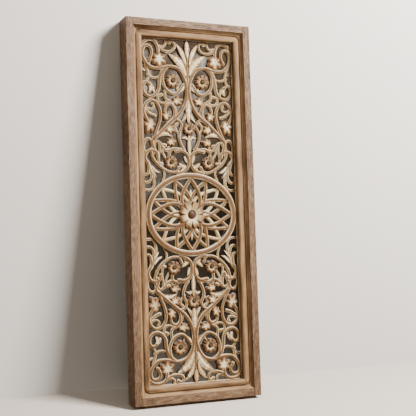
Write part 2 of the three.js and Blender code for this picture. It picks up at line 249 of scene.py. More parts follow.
class Relief:
    """The carved board as arrays over a regular grid of x and z: how far inside the wood a
    point is, how high the front stands over the flat back, and how worn it is."""

    def __init__(self, step):
        columns = int(round(2 * RIM_HALF_X / step)) + 1
        rows = int(round(2 * RIM_HALF_Z / step)) + 1
        self.step = step
        self.columns = np.linspace(-RIM_HALF_X, RIM_HALF_X, columns)
        self.rows = np.linspace(-RIM_HALF_Z, RIM_HALF_Z, rows)
        self.step_x = self.columns[1] - self.columns[0]
        self.step_z = self.rows[1] - self.rows[0]
        self.x, self.z = np.meshgrid(self.columns, self.rows)
        self.solid = np.full(self.x.shape, -9.0)
        self.height = np.zeros(self.x.shape)
        self.wear = np.zeros(self.x.shape)

    def window(self, low, high):
        """The slices of the grid that lie between two corners."""
        i0, i1 = np.searchsorted(self.columns, (low[0], high[0]))
        j0, j1 = np.searchsorted(self.rows, (low[1], high[1]))
        return slice(j0, j1), slice(i0, i1)

    def lay(self, place, solid, height, wear):
        """Keeps the larger of what is there and what is laid, point by point."""
        self.solid[place] = np.maximum(self.solid[place], solid)
        higher = (solid > 0) & (height > self.height[place])
        self.height[place] = np.where(higher, height, self.height[place])
        self.wear[place] = np.where(higher, wear, self.wear[place])


STEPS_PER_SPAN = 8


def smooth_line(points):
    """A centripetal Catmull-Rom curve: between two points it is the cubic whose slopes at
    the ends come from the neighbours, weighted by the square roots of the distances."""
    p = np.array(points, float)
    p = np.vstack([2 * p[0] - p[1], p, 2 * p[-1] - p[-2]])
    gap = np.sqrt(np.linalg.norm(np.diff(p, axis=0), axis=1))[:, None]
    step = np.diff(p, axis=0)
    g0, g1, g2 = gap[:-2], gap[1:-1], gap[2:]
    first = (step[:-2] / g0 - (step[:-2] + step[1:-1]) / (g0 + g1) + step[1:-1] / g1) * g1
    second = (step[1:-1] / g1 - (step[1:-1] + step[2:]) / (g1 + g2) + step[2:] / g2) * g1
    t = (np.arange(STEPS_PER_SPAN) / STEPS_PER_SPAN)[None, :, None]
    start, change = p[1:-2, None], step[1:-1, None]
    first, second = first[:, None], second[:, None]
    curve = (start + first * t + (3 * change - 2 * first - second) * t ** 2
             + (first + second - 2 * change) * t ** 3)
    return np.vstack([curve.reshape(-1, 2), p[-2]])


def lay_bar(relief, line, half_width, profile):
    """Lays a bar along a line of short straight pieces. A grid point belongs to the piece
    it is deepest inside, where depth is the half width less the distance; profile gives
    height and wear from u, the distance over the half width, and the share of the way."""
    share = np.linspace(0, 1, len(line))
    reach = np.max(half_width(share)) + 2
    for start in range(0, len(line) - 1, STEPS_PER_SPAN):
        bit = line[start:start + STEPS_PER_SPAN + 1]
        part = share[start:start + STEPS_PER_SPAN + 1]
        place = relief.window(bit.min(0) - reach, bit.max(0) + reach)
        x, z = relief.x[place], relief.z[place]
        if not x.size:
            continue
        origin, along = bit[:-1, :, None, None], np.diff(bit, axis=0)[:, :, None, None]
        px, pz = x - origin[:, 0], z - origin[:, 1]
        length = np.maximum((along ** 2).sum(1), 1e-9)
        t = np.clip((px * along[:, 0] + pz * along[:, 1]) / length, 0, 1)
        distance = np.hypot(px - t * along[:, 0], pz - t * along[:, 1])
        where = part[:-1, None, None] + t * np.diff(part)[:, None, None]
        half = half_width(where)
        deepest = np.argmax(half - distance, axis=0)[None]
        distance, where, half = (
            np.take_along_axis(field, deepest, 0)[0] for field in (distance, where, half))
        u = np.clip(distance / half, 0, 1)
        height, wear = profile(u, where, half)
        relief.lay(place, half - distance, height, wear)


STEM_SLENDERNESS = 0.92


def lay_stem(relief, line, start_width, end_width, height, swelling, worn):
    """A round-backed stem: its top falls off as a part of a circle, and its crest is worn.
    A curled end swells into a small knob."""
    length = np.linalg.norm(np.diff(line, axis=0), axis=1).sum()

    def half_width(share):
        knob = 1 + swelling * bell((1 - share) * length, 6.0)
        return STEM_SLENDERNESS * (start_width + (end_width - start_width) * share) / 2 * knob

    def profile(u, share, half):
        # Wear falls towards the edges, where the finish's brightest lime is also a painted
        # highlight.
        return height - half * 1.15 * rounded(u), worn * (1.12 - u)

    lay_bar(relief, line, half_width, profile)


def lay_blade(relief, line, width, height):
    """A leaf blade: half width follows a sine that peaks near the middle and runs out to a
    point; the faces are dished between a raised midrib and the rim, and the tip bends
    back."""

    def half_width(share):
        swell = np.sin(np.pi * (0.03 + 0.95 * share) ** 1.05)
        return np.maximum(width / 2 * swell, 0.7)

    def profile(u, share, half):
        dish = 1.4 * np.sin(np.pi * u) ** 2 * smooth(half, 1.5, 4)
        top = height - dish - 0.8 * u ** 6 - 3.0 * smooth(share, 0.7, 1.0)
        return top, np.maximum(0.84 * u ** 1.5 * (0.7 + 0.4 * share), 1.2 * (share - 0.65))

    lay_bar(relief, line, half_width, profile)


def polar(relief, centre, half, turn, side, up):
    """The grid window round a centre, with its polar share of the half sizes and angle."""
    reach = np.array(half) * 1.15 + 1
    place = relief.window(np.array(centre) - reach, np.array(centre) + reach)
    px = (relief.x[place] - centre[0]) * side / half[0]
    pz = (relief.z[place] - centre[1]) * up / half[1]
    return place, np.hypot(px, pz), np.arctan2(pz, px) - math.radians(turn)


# A flower's button as a share of its half width, and a wear that its finish darkens.
BUTTON_SHARE = 0.27
BUTTON_WEAR = 1.6


def lay_flower(relief, spec, side, up):
    """An open flower: with l = |cos(lobes * angle / 2)|, the outline is 1 - notch * (1 - l)^3
    with the petal ends a little flattened. Each petal is dished towards the middle and
    divided by a groove, and a domed button sits in a sunk ring."""
    cx, cz, half_x, half_z, lobes, turn, notch, height, rim_wear = spec
    place, reach, angle = polar(relief, (cx, cz), (half_x, half_z), turn, side, up)
    lobe = np.abs(np.cos(lobes * angle / 2))
    edge = 1 - notch * (1 - lobe) ** 3 - 0.05 * smooth(lobe, 0.86, 1.0)
    rho = reach / edge
    top = height - 3.2 * (1 - smooth(rho, 0.25, 0.7)) - 1.6 * smooth(rho, 0.84, 1.0)
    top = top - 2.2 * bell(lobe, 0.2) * smooth(rho, 0.32, 0.55)
    button = np.sqrt(np.clip(1 - (reach / BUTTON_SHARE) ** 2, 0, 1))
    top = np.where(reach < BUTTON_SHARE, height - 3.4 + 3.4 * button, top)
    top = top - 1.8 * bell(reach - 0.30, 0.035)
    wear = np.where(reach < 0.29, BUTTON_WEAR, rim_wear * rho)
    relief.lay(place, (edge - reach) * min(half_x, half_z), top, wear)


# Each lobe of a leaf: its angle from the tip in radians and its reach.
LEAF_LOBES = ((0.0, 1.18), (0.95, 1.0), (-0.95, 1.0), (1.95, 0.8), (-1.95, 0.8))
LOBE_HALF_ANGLE = 0.66
LOBE_NOTCH = 0.42


def lay_leaf(relief, spec, side, up):
    """A lobed leaf: the outline is the largest of reach * (1 - notch * t^1.6) over its
    lobes, where t is the angle from the lobe over a lobe's half angle, at most 1. Every
    lobe is domed, with a pale rib down it and a cut beside it, and is worn at its rim."""
    cx, cz, half_x, half_z, turn, height = spec
    tip = np.radians(turn)
    centre = (cx - side * 0.24 * half_x * np.cos(tip), cz - up * 0.24 * half_z * np.sin(tip))
    half = (half_x * 1.2, half_z * 1.2)
    place, reach, angle = polar(relief, centre, half, turn, side, up)
    lobe_angle, lobe_reach = np.array(LEAF_LOBES).T[..., None, None]
    away = np.abs(np.angle(np.exp(1j * (angle - lobe_angle))))
    t = np.minimum(away / LOBE_HALF_ANGLE, 1)
    edge = (lobe_reach * (1 - LOBE_NOTCH * t ** 1.6)).max(0)
    near = np.cos(np.minimum(1.7 * away, np.pi / 2)).max(0)
    rho = reach / edge
    top = height - 1.0 * (1 - smooth(rho, 0.0, 0.45)) - 2.4 * smooth(rho, 0.66, 1.0) ** 2
    top = top - 2.3 * (1 - smooth(near, 0.55, 0.9)) * smooth(rho, 0.25, 0.6)
    rib = smooth(near, 0.955, 1.0) * (1 - smooth(rho, 0.75, 0.95))
    top = top + 0.7 * rib
    wear = rho ** 1.05 * (0.74 + 0.36 * near) * (1 - 0.3 * rib)
    relief.lay(place, (edge - reach) * min(half), top, wear)


def in_quarter(points, side, lower):
    """Moves points of the upper right quarter to the given one."""
    p = np.array(points, float).reshape(-1, 2)
    z = p[:, 1]
    shift = np.interp(z, *zip(*LOWER_SHIFT))
    return np.column_stack([side * p[:, 0], -z - shift if lower else z])


QUARTERS = ((1, False), (-1, False), (1, True), (-1, True))


def lay_quarter(relief, side, lower, hand):
    """One quarter of the scrolls, each line moved a little, as a hand would."""
    up = -1 if lower else 1

    def drawn(points):
        return in_quarter(points, side, lower) + hand.normal(0, 0.35, (len(points), 2))

    for start, end, height, swelling, points in STEMS.values():
        worn = 0.66 + 0.34 * (height - 11) / 5
        lay_stem(relief, smooth_line(drawn(points)), start, end,
                 height + hand.normal(0, 0.2), swelling, worn)
    for width, height, points in BLADES.values():
        lay_blade(relief, smooth_line(drawn(points)), width, height)
    for specs, lay in ((FLOWERS, lay_flower), (LEAVES, lay_leaf)):
        for x, z, *rest in specs.values():
            centre = in_quarter([(x, z)], side, lower)[0]
            lay(relief, (*centre, *rest), side, up)


def lay_medallion(relief):
    """The oval ring is a band of constant width round an ellipse. Each petal side leaves the
    line from centre to tip by spread * sin(pi * share^0.8)."""
    middle = np.array(MEDALLION)
    ring = np.array(RING_HALF)
    turn = np.linspace(0, 2 * np.pi, 20 * STEPS_PER_SPAN + 1)
    oval = middle + ring * np.column_stack([np.sin(turn), np.cos(turn)])

    def band_profile(u, share, half):
        return FULL_HEIGHT - half * 0.62 * rounded(u), 1.5 * (1 - u)

    def half_band(share):
        return np.full_like(share, RING_BAND / 2)

    lay_bar(relief, oval, half_band, band_profile)
    share = np.linspace(0.2, 1, 2 * STEPS_PER_SPAN + 1)[:, None]
    for k in range(PETALS):
        angle = 2 * math.pi * k / PETALS
        tip = (ring - RING_BAND / 2) * (math.sin(angle), math.cos(angle))
        along = tip / np.linalg.norm(tip)
        spread = PETAL_SPREAD[k % 8] * np.sin(np.pi * share ** 0.8)
        for way in (1, -1):
            across = way * np.array([along[1], -along[0]])
            lay_stem(relief, middle + share * tip + spread * across, PETAL_BAND, PETAL_BAND,
                     PETAL_HEIGHT[k % 4], 0, PETAL_WEAR[k % 4])
    for degrees, start, end in BUDS:
        along = ring * (math.sin(math.radians(degrees)), math.cos(math.radians(degrees)))
        ends = [middle + along * share for share in (start, (start + end) / 2, end)]
        lay_blade(relief, smooth_line(ends), BUD_WIDTH, BUD_HEIGHT)
    lay_flower(relief, MEDALLION_FLOWER, 1, 1)
    for side in (1, -1):
        link = np.array([(side * RING_HALF[0], middle[1]), (side * RIM_HALF_X, middle[1])])
        lay_bar(relief, link, half_band,
                lambda u, share, half: (RIM_HEIGHT - 1 + 0 * u, 0 * u))


def carve(step):
    """The whole relief: quarters, medallion, the plain rim and the marks of the gouge."""
    relief = Relief(step)
    hand = np.random.default_rng(5)
    for side, lower in QUARTERS:
        lay_quarter(relief, side, lower, hand)
    lay_medallion(relief)
    x, z = relief.x, relief.z
    marks = 0.1 * np.sin(0.83 * x + 1.7 * np.sin(0.31 * z)) * np.sin(0.61 * z + 0.9)
    relief.height += marks + 0.06 * np.sin(1.9 * x + 0.7 * z) * np.sin(1.3 * z - 0.8 * x)
    outside = np.maximum(np.abs(x) - FIELD_HALF_X, np.abs(z) - FIELD_HALF_Z)
    relief.height = np.where(outside > 0, RIM_HEIGHT, relief.height)
    relief.wear = np.where(outside > 0, 0, relief.wear)
    relief.solid = np.maximum(relief.solid, outside)
    relief.height = np.minimum(relief.height, FULL_HEIGHT)
    return relief


# ---- meshes ----------------------------------------------------------------------------

def new_object(name, vertices, faces):
    """A mesh object from an array of places in millimetres and an array or list of faces."""
    mesh = bpy.data.meshes.new(name)
    faces = faces.tolist() if isinstance(faces, np.ndarray) else faces
    mesh.from_pydata(vertices * MM, [], faces)
    mesh.update()
    piece = bpy.data.objects.new(name, mesh)
    bpy.context.scene.collection.objects.link(piece)
    return piece


def shade(piece, degrees):
    """Smooth shading, broken where two faces meet at more than the given angle."""
    piece.data.shade_smooth()
    piece.data.set_sharp_from_angle(angle=math.radians(degrees))


def panel_collection():
    """The collection of every piece of the panel, for the lamps that light only them."""
    name = "panel_pieces"
    return bpy.data.collections.get(name) or bpy.data.collections.new(name)


def finish_piece(piece, material, slot, *nodes):
    """Gives a piece its wood, puts it in the panel's collection, sets it riding on the root body
    and hides the solids it stands for.
    """
    panel_collection().objects.link(piece)
    piece.data.materials.clear()
    piece.data.materials.append(material)
    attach(piece, "root")
    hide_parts(*nodes)


def spread_outwards(values, known, rounds=2):
    """Fills unknown grid points with the mean of their known neighbours."""
    values, known = np.where(known, values, 0.0), known.copy()
    for _ in range(rounds):
        total, count = np.zeros_like(values), np.zeros_like(values)
        for axis in (0, 1):
            for way in (1, -1):
                total += np.roll(values * known, way, axis)
                count += np.roll(known, way, axis)
        fresh = ~known & (count > 0)
        values[fresh] = total[fresh] / count[fresh]
        known |= fresh
    return values


def boundary_edges(triangles, total):
    """Directed edges that only one triangle uses."""
    edges = np.concatenate([triangles[:, [0, 1]], triangles[:, [1, 2]], triangles[:, [2, 0]]])
    forward = edges[:, 0] * total + edges[:, 1]
    backward = edges[:, 1] * total + edges[:, 0]
    return edges[~np.isin(forward, backward)]


# A grid point is moved onto the outline from less than this share of a step, where the
# squared slope of the solid field is more than the least one.
NEAR_SHARE = 0.62
LEAST_SLOPE = 0.2
MOST_PINCH_ROUNDS = 8


def carved_surface(relief):
    """The relief as a closed surface. Grid points near the outline are moved onto it along
    the slope of the solid field; cells with three or four corners in the wood are kept; the
    front stands at its height, the back is flat, and a wall joins them along the outline."""
    step, solid = relief.step, relief.solid
    slope_z, slope_x = np.gradient(solid, relief.rows, relief.columns)
    steep = slope_x ** 2 + slope_z ** 2
    near = (np.abs(solid) < NEAR_SHARE * step) & (steep > LEAST_SLOPE)
    near[[0, -1]] = False
    near[:, [0, -1]] = False
    move = np.where(near, solid / np.maximum(steep, LEAST_SLOPE), 0)
    x, z = relief.x - slope_x * move, relief.z - slope_z * move
    height = spread_outwards(relief.height, solid > 0)
    inside = (solid > 0) | near

    number = np.arange(solid.size).reshape(solid.shape)
    corners = [number[:-1, :-1], number[:-1, 1:], number[1:, 1:], number[1:, :-1]]
    full = [inside.ravel()[corner] for corner in corners]
    in_wood = sum(solid.ravel()[corner] for corner in corners)
    count = sum(flag.astype(int) for flag in full)
    triangles = []
    whole = (count == 4) & (in_wood > 0)
    for order in ((0, 1, 2), (0, 2, 3)):
        triangles.append(np.stack([corners[k][whole] for k in order], 1))
    for missing in range(4):
        chosen = (count == 3) & ~full[missing] & (in_wood > -2 * step)
        order = [(missing + k) % 4 for k in (1, 2, 3)]
        triangles.append(np.stack([corners[k][chosen] for k in order], 1))
    triangles = np.concatenate(triangles)
    for _ in range(MOST_PINCH_ROUNDS):
        rim = boundary_edges(triangles, solid.size)
        pinched = np.bincount(rim[:, 0], minlength=solid.size) > 1
        if not pinched.any():
            break
        triangles = triangles[~pinched[triangles].any(1)]

    used, packed = np.unique(triangles, return_inverse=True)
    triangles = packed.reshape(-1, 3)
    x, z, height = x.ravel()[used], z.ravel()[used] + MIDDLE_Z, height.ravel()[used]
    front = np.column_stack([x, CARVING_BACK_Y - height, z])
    back = np.column_stack([x, np.full_like(x, CARVING_BACK_Y), z])
    count = len(used)
    rim = boundary_edges(triangles, count)
    a, b = rim[:, 0], rim[:, 1]
    walls = np.concatenate([np.stack([b, a, a + count], 1), np.stack([b, a + count, b + count], 1)])
    faces = np.concatenate([triangles, triangles[:, ::-1] + count, walls])
    return np.concatenate([front, back]), faces


def thin_out(piece, most_triangles):
    """Collapses edges, the flattest first, down to a number of triangles."""
    share = most_triangles / len(piece.data.polygons)
    if share >= 1:
        return
    modifier = piece.modifiers.new("thin", "DECIMATE")
    modifier.ratio = share
    modifier.use_collapse_triangulate = True
    graph = bpy.context.evaluated_depsgraph_get()
    mesh = bpy.data.meshes.new_from_object(piece.evaluated_get(graph))
    old = piece.data
    piece.modifiers.clear()
    piece.data = mesh
    mesh.name = piece.name
    bpy.data.meshes.remove(old)


def look_up(relief, field, x, z):
    """Value of a grid field at scattered places, by bilinear weights."""
    i = np.clip((x - relief.columns[0]) / relief.step_x, 0, len(relief.columns) - 1.001)
    j = np.clip((z - relief.rows[0]) / relief.step_z, 0, len(relief.rows) - 1.001)
    i0, j0 = i.astype(int), j.astype(int)
    fi, fj = i - i0, j - j0
    low = field[j0, i0] * (1 - fi) + field[j0, i0 + 1] * fi
    high = field[j0 + 1, i0] * (1 - fi) + field[j0 + 1, i0 + 1] * fi
    return low * (1 - fj) + high * fj


def blurred(field, reach):
    """Mean of a field over a square of 2 * reach + 1 cells, by running sums."""
    for axis in (0, 1):
        pad = [(0, 0), (0, 0)]
        pad[axis] = (reach + 1, reach)
        total = np.cumsum(np.pad(field, pad, "edge"), axis)
        count = total.shape[axis]
        field = (np.take(total, range(2 * reach + 1, count), axis)
                 - np.take(total, range(count - 2 * reach - 1), axis)) / (2 * reach + 1)
    return field


# Reach of the mean that says how sunk a place is, and the depth that counts as fully so.
SUNK_REACH = 3.5
SUNK_DEPTH = 2.8


def paint_relief(piece, relief):
    """Writes three point attributes: wear; fall, 0 on the front and 1 down at the back; and sunk,
    how far the front lies under the mean height of the wood round it, left out near the outline.
    The carving's finish paints shade from fall and sunk."""
    mesh = piece.data
    places = np.empty(len(mesh.vertices) * 3)
    mesh.vertices.foreach_get("co", places)
    x, y, z = places.reshape(-1, 3).T / MM
    wood = (relief.solid > 0).astype(float)
    reach = max(int(round(SUNK_REACH / relief.step)), 1)
    around = blurred(blurred(relief.height * wood, reach), reach)
    around = around / np.maximum(blurred(blurred(wood, reach), reach), 0.05)
    sunk = np.clip((around - relief.height) / SUNK_DEPTH + 0.08, 0, 1)
    sunk = sunk * smooth(relief.solid, 1.6, 4.0)
    wear, sunk, front = (
        look_up(relief, spread_outwards(field, relief.solid > 0), x, z - MIDDLE_Z)
        for field in (relief.wear, sunk, relief.height))
    fall = np.clip(1 - (CARVING_BACK_Y - y) / np.maximum(front, 1), 0, 1)
    on_front = fall < 0.9
    for name, values in (("wear", wear * on_front), ("sunk", sunk * on_front), ("fall", fall)):
        attribute = mesh.attributes.new(name, "FLOAT", "POINT")
        attribute.data.foreach_set("value", values.astype(np.float32))


# ---- frame boards and moulding ---------------------------------------------------------

NOISE_VALUES = 4096
CELL_KEY = np.array([73856093, 19349663, 83492791])


def value_noise(seed, places, size):
    """Smooth noise from -1 to 1: seeded values at the corners of cubes of the given sizes,
    blended by 3t^2 - 2t^3 along each axis."""
    table = np.random.default_rng(seed).uniform(-1, 1, NOISE_VALUES)
    scaled = places / np.array(size)
    cell = np.floor(scaled).astype(np.int64)
    t = scaled - cell
    t = t * t * (3 - 2 * t)
    total = 0
    for corner in np.ndindex(2, 2, 2):
        key = (cell + corner) @ CELL_KEY
        weight = np.prod(np.where(corner, t, 1 - t), axis=-1)
        total = total + table[key & (NOISE_VALUES - 1)] * weight
    return total


def grain_attribute(piece, along, across, depth):
    """Stores the place in the board as it was sawn: along, across and into the grain."""
    places = np.column_stack([along, across, depth]) * MM
    attribute = piece.data.attributes.new("grain", "FLOAT_VECTOR", "POINT")
    attribute.data.foreach_set("vector", places.astype(np.float32).ravel())


def cut_lines(low, high, spacing, edge):
    """Grid lines over a length: even ones, and four close ones round each worn edge."""
    close = np.array([0, 0.25, 0.55, 1.0]) * edge
    count = max(int(round((high - low - 2 * edge) / spacing)), 1)
    middle = np.linspace(low + edge, high - edge, count + 1)
    return np.concatenate([low + close[:-1], middle, high - close[:-1][::-1]])


def board_surface(low, high, spacing, edge, seed):
    """The surface of a sawn board with worn edges. A point p of the plain box moves to
    q + r * (p - q) / |p - q|, where q is p held r inside the box and r varies with noise;
    the faces then sink by up to a fifth of a millimetre of unevenness."""
    lines = [cut_lines(low[k], high[k], spacing[k], edge) for k in range(3)]
    size = [len(line) for line in lines]
    quads = []
    for axis in range(3):
        u, v = (axis + 1) % 3, (axis + 2) % 3
        i, j = np.meshgrid(np.arange(size[u] - 1), np.arange(size[v] - 1), indexing="ij")
        for end in (0, size[axis] - 1):
            corners = []
            for di, dj in ((0, 0), (1, 0), (1, 1), (0, 1)):
                index = [None, None, None]
                index[axis] = np.full(i.size, end)
                index[u] = (i + di).ravel()
                index[v] = (j + dj).ravel()
                corners.append((index[0] * size[1] + index[1]) * size[2] + index[2])
            quad = np.stack(corners, 1)
            quads.append(quad if end else quad[:, ::-1])
    quads = np.concatenate(quads)
    used, faces = np.unique(quads, return_inverse=True)
    i, j, k = used // (size[1] * size[2]), used // size[2] % size[1], used % size[2]
    box = np.column_stack([lines[0][i], lines[1][j], lines[2][k]])
    worn = value_noise(seed, box, (9, 9, 23)) * 0.5 + value_noise(seed + 1, box, (40, 40, 90))
    radius = (edge * np.clip(0.62 + 0.42 * worn, 0.2, 1))[:, None]
    held = np.clip(box, np.array(low) + radius, np.array(high) - radius)
    away = box - held
    length = np.maximum(np.linalg.norm(away, axis=1, keepdims=True), 1e-6)
    normal = away / length
    dent = 0.1 + 0.1 * value_noise(seed + 2, box, (30, 30, 60))[:, None]
    return held + normal * (radius - dent), faces.reshape(-1, 4), box


def build_board(name, axis, seed, material, edge):
    """One board of the frame, with its grain along the given axis."""
    low, high = node_box(name)
    spacing = [2.2, 3.0, 2.2]
    spacing[axis] = 4.0
    places, faces, box = board_surface(low, high, spacing, edge, seed)
    piece = new_object(name + "_wood", places, faces)
    shade(piece, 40)
    grain_attribute(piece, box[:, axis] + 1700 * seed, box[:, 2 - axis],
                    box[:, 1] + 90 * seed)
    finish_piece(piece, material, "frame_wood", name)


# The moulding's section, as distance out from the opening and depth behind the frame's front, from
# the inner lip round to the back. The hollow share says how far the wood there is darkened, most in
# the groove.
LIP_BACK = 21.7
REBATE_WALL = 5.0
MOULDING_WIDTH = 25.2
SECTION = (
    # (distance, depth, hollow)
    (0.0, 12.9, 0.3), (0.25, 11.6, 0.15), (1.2, 10.1, 0.0), (2.5, 9.1, 0.0),
    (4.0, 8.45, 0.0), (6.0, 8.0, 0.0), (8.0, 7.82, 0.05), (10.0, 7.85, 0.05),
    (12.0, 8.1, 0.1), (14.0, 8.6, 0.2), (15.4, 9.3, 0.25), (16.4, 10.4, 0.7),
    (17.0, 11.0, 1.0), (17.5, 10.3, 0.9), (17.9, 9.0, 0.4), (18.5, 8.35, 0.05),
    (19.4, 8.1, 0.0), (20.3, 7.5, 0.05), (21.2, 6.3, 0.1), (22.3, 4.9, 0.0),
    (23.4, 3.4, 0.0), (24.3, 2.3, 0.1), (MOULDING_WIDTH, 1.7, 0.6),
)
# Out to the first distance the profile turns round a corner; from the second it is square.
ROUND_UNTIL, SQUARE_FROM = 16.5, 19.0
CORNER_RINGS = 13
MITRE_GAP = 0.2
PLANED_OFF = 0.28


def section_points():
    """The section closed round the back: the named front, then the lip and the rebate."""
    back = CARVING_BACK_Y - FRONT_Y
    tail = [(MOULDING_WIDTH, back * 0.5, 0.9), (MOULDING_WIDTH, back, 0.6),
            (MOULDING_WIDTH * 0.6, back, 0.5), (REBATE_WALL, back, 0.5),
            (REBATE_WALL, 29.0, 0.5), (REBATE_WALL, LIP_BACK, 0.5),
            (REBATE_WALL / 2, LIP_BACK, 0.5), (0.0, LIP_BACK, 0.6),
            (0.0, 17.5, 0.5)]
    return np.array(list(SECTION) + tail)


def moulding_surface(half_length, half_across, seed):
    """One strip, lying along x over the opening. Each ring of the section lies in the plane
    through the opening's corner at an angle a from 0 to 45 degrees: out = distance * (cos a
    where the profile turns round the corner, 1 where it stays square), along = the half
    length + out * tan a. Between the corners the rings are straight across."""
    section = section_points()
    distance, depth, hollow = section.T
    square = np.where(depth < LIP_BACK, smooth(distance, ROUND_UNTIL, SQUARE_FROM), 1)
    angle = np.linspace(math.pi / 4, 0, CORNER_RINGS)[:, None]
    out = distance * (np.cos(angle) * (1 - square) + square)
    corner = half_length - MITRE_GAP + out * np.tan(angle)
    middle = np.linspace(-1, 1, int(half_length / 2))[1:-1, None]
    straight = middle * (half_length - MITRE_GAP) + 0 * distance
    along = np.vstack([-corner, straight, corner[::-1]])
    across = np.vstack([out, 0 * straight + distance, out[::-1]])
    deep = np.broadcast_to(depth, along.shape)
    place = np.stack([along.ravel(), deep.ravel() * 4, across.ravel()], 1)
    front = deep.ravel() < LIP_BACK - 1
    worn = 0.16 * value_noise(seed, place, (14, 30, 5)) + 0.12 * value_noise(
        seed + 1, place, (60, 30, 12))
    deep = deep.ravel() + np.where(front, PLANED_OFF + worn, 0)
    rings, points = along.shape
    number = np.arange(rings * points).reshape(rings, points)
    a, b = number[:-1], np.roll(number, -1, 1)[:-1]
    c, d = np.roll(number, -1, 1)[1:], number[1:]
    quads = np.stack([a.ravel(), d.ravel(), c.ravel(), b.ravel()], 1)
    caps = [number[0].tolist(), number[-1][::-1].tolist()]
    return along.ravel(), deep, across.ravel() + half_across, np.tile(hollow, rings), quads, caps


def build_moulding(name, turn, material, seed):
    """One strip, turned about the panel's middle: 0 is the top one, each turn a quarter."""
    opening = (RIM_HALF_X - REBATE, RIM_HALF_Z - REBATE)
    half_length, half_across = opening if turn % 2 == 0 else opening[::-1]
    along, deep, up, hollow, quads, caps = moulding_surface(half_length, half_across, seed)
    cosine, sine = round(math.cos(turn * math.pi / 2)), round(math.sin(turn * math.pi / 2))
    x = along * cosine + up * sine
    z = up * cosine - along * sine + MIDDLE_Z
    places = np.column_stack([x, FRONT_Y + deep, z])
    piece = new_object(name + "_wood", places, quads.tolist() + caps)
    shade(piece, 45)
    grain_attribute(piece, along + 2100 * seed, up, deep + 70 * seed)
    attribute = piece.data.attributes.new("hollow", "FLOAT", "POINT")
    attribute.data.foreach_set("value", hollow.astype(np.float32))
    finish_piece(piece, material, "moulding_wood", name)


# ---- wood finishes ---------------------------------------------------------------------

def opaque(colour):
    return (*colour[:3], 1.0)


class Finish:
    """A material under construction: adds shader nodes and joins them."""

    def __init__(self, name):
        self.material = bpy.data.materials.new(name)
        self.material.use_nodes = True
        self.tree = self.material.node_tree
        self.shader = self.tree.nodes["Principled BSDF"]

    def put(self, kind, inputs=None, **settings):
        node = self.tree.nodes.new("ShaderNode" + kind)
        for key, value in settings.items():
            setattr(node, key, value)
        for key, value in (inputs or {}).items():
            self.join(value, node.inputs[key])
        return node

    def join(self, value, socket):
        if isinstance(value, bpy.types.NodeSocket):
            self.tree.links.new(value, socket)
        else:
            socket.default_value = value

    def attribute(self, name, output="Fac"):
        return self.put("Attribute", attribute_name=name).outputs[output]

    def stretched(self, place, scale):
        return self.put("Mapping", {"Vector": place, "Scale": scale}).outputs[0]

    def noise(self, place, scale, detail=4.0, rough=0.6, twist=0.0):
        return self.put("TexNoise", {"Vector": place, "Scale": scale, "Detail": detail,
                                     "Roughness": rough, "Distortion": twist}).outputs["Fac"]

    def ranged(self, value, low, high, to_low=0.0, to_high=1.0):
        return self.put("MapRange", {"Value": value, "From Min": low, "From Max": high,
                                     "To Min": to_low, "To Max": to_high}).outputs[0]

    def sums(self, operation, *values):
        return self.put("Math", dict(enumerate(values)), operation=operation).outputs[0]

    def blend(self, share, first, second, mode="MIX"):
        node = self.put("Mix", data_type="RGBA", blend_type=mode)
        self.join(share, node.inputs[0])
        for colour, socket in ((first, node.inputs[6]), (second, node.inputs[7])):
            linked = isinstance(colour, bpy.types.NodeSocket)
            self.join(colour if linked else opaque(colour), socket)
        return node.outputs[2]

    def ramp(self, value, stops):
        node = self.put("ValToRGB", {"Fac": value})
        points = node.color_ramp.elements
        while len(points) < len(stops):
            points.new(0.5)
        for point, (place, colour) in zip(points, stops):
            point.position = place
            point.color = opaque(colour)
        return node.outputs[0]

    def bump(self, height, distance, strength=1.0, under=None):
        inputs = {"Height": height, "Distance": distance, "Strength": strength}
        if under is not None:
            inputs["Normal"] = under
        return self.put("Bump", inputs).outputs[0]

    def apply(self, colour, roughness, normal, specular):
        self.join(colour, self.shader.inputs["Base Color"])
        self.join(roughness, self.shader.inputs["Roughness"])
        self.join(normal, self.shader.inputs["Normal"])
        self.shader.inputs["Specular IOR Level"].default_value = specular
        return self.material

    def let_through(self, share):
        """Mixes the finish with nothing at all by a share, on its way to the output."""
        clear = self.put("BsdfTransparent")
        choice = self.put("MixShader", {0: share, 1: self.shader.outputs[0],
                                        2: clear.outputs[0]})
        self.join(choice.outputs[0], self.tree.nodes["Material Output"].inputs["Surface"])
        return self.material


def limed_oak(settings):
    """Open-grained board wood with pale lime left in it: long streaks and fine pores."""
    finish = Finish("limed_board_wood")
    grain = finish.attribute("grain", "Vector")
    patches = finish.noise(finish.stretched(grain, (5, 16, 16)), 1.0, 3, 0.6)
    streaks = finish.noise(finish.stretched(grain, (56, 400, 290)), 1.0, 5, 0.7, 0.5)
    pores = finish.noise(finish.stretched(grain, (70, 900, 600)), 1.0, 3, 0.7)
    tone = finish.sums("ADD", streaks, finish.ranged(patches, 0.3, 0.7, -0.07, 0.07))
    colour = finish.ramp(tone, (
        (0.35, settings.board_dark), (0.49, settings.board_mid), (0.62, settings.board_pale)))
    flecks = finish.ranged(pores, 0.62, 0.72)
    colour = finish.blend(finish.sums("MULTIPLY", flecks, 0.35), colour, settings.board_dark)
    scuffs = finish.noise(finish.stretched(grain, (60, 300, 240)), 1.0, 5, 0.75, 1.0)
    colour = finish.blend(finish.ranged(scuffs, 0.57, 0.66, 0, 0.45), colour,
                          settings.board_pale)
    roughness = finish.ranged(streaks, 0.3, 0.7, 0.78, 0.55)
    normal = finish.bump(streaks, 0.0006, 0.7)
    normal = finish.bump(pores, 0.00025, 0.6, normal)
    return finish.apply(colour, roughness, normal, 0.35)


